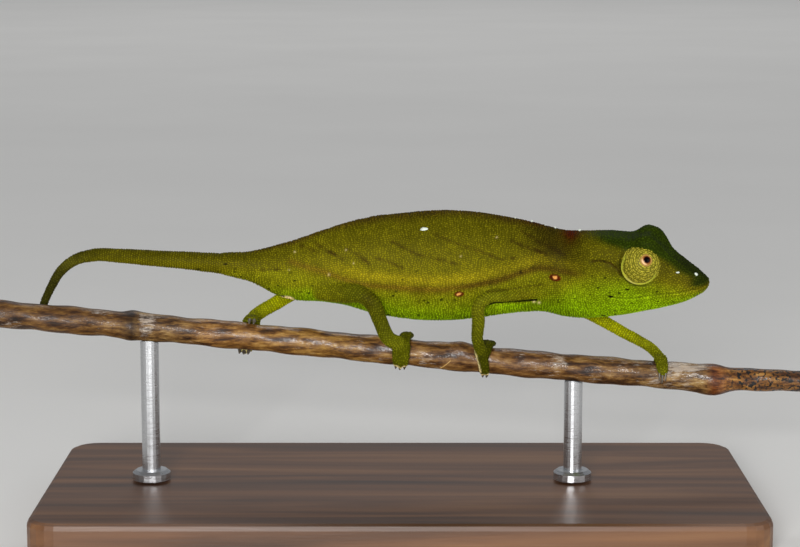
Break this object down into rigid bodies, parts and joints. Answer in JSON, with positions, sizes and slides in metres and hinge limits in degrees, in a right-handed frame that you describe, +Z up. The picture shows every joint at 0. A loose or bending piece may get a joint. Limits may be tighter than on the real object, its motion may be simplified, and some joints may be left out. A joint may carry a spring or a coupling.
{
  "type": "green leaf chameleon on a twig, display model",
  "caption": "Slender green leaf chameleon walking along a cut length of twig with its tail hooked round it, on a flat base with short rods.",
  "frame": {"origin": "on the floor under the middle of the stand and the twig", "axes": "+X towards the head, +Y towards the animal's left side, +Z up"},
  "size_m": [0.113, 0.046, 0.0423],
  "materials": {
    "skin": "fine dry scales, yellow-green to olive, satin",
    "tail_skin": "rings of fine scales, olive green fading to grey-green",
    "foot_skin": "fine scales with pale edges and claws",
    "lids": "rings of fine scales round a pink-orange opening",
    "eye": "dark wet gloss",
    "bark": "wet brown bark with pale flakes",
    "base_wood": "stained and waxed",
    "rod_steel": "brushed"
  },
  "bodies": {
    "root": {"head": "skin", "neck": "skin", "torso": "skin", "tail_root": "skin", "arm_right_upper": "skin", "arm_right_lower": "skin", "arm_left_upper": "skin", "arm_left_lower": "skin", "leg_right_thigh": "skin", "leg_right_shank": "skin", "leg_left_thigh": "skin", "leg_left_shank": "skin", "tail_base": "tail_skin", "tail_middle": "tail_skin", "tail_bend": "tail_skin", "tail_tip": "tail_skin", "arm_right_hand": "foot_skin", "arm_left_hand": "foot_skin", "leg_right_foot": "foot_skin", "leg_left_foot": "foot_skin", "eye_turret_right": "lids", "eye_turret_left": "lids", "eye_right": "eye", "eye_left": "eye", "perch": "bark", "stand_base": "base_wood", "stand_rod_front": "rod_steel", "stand_rod_rear": "rod_steel"}
  },
  "joints": []
}
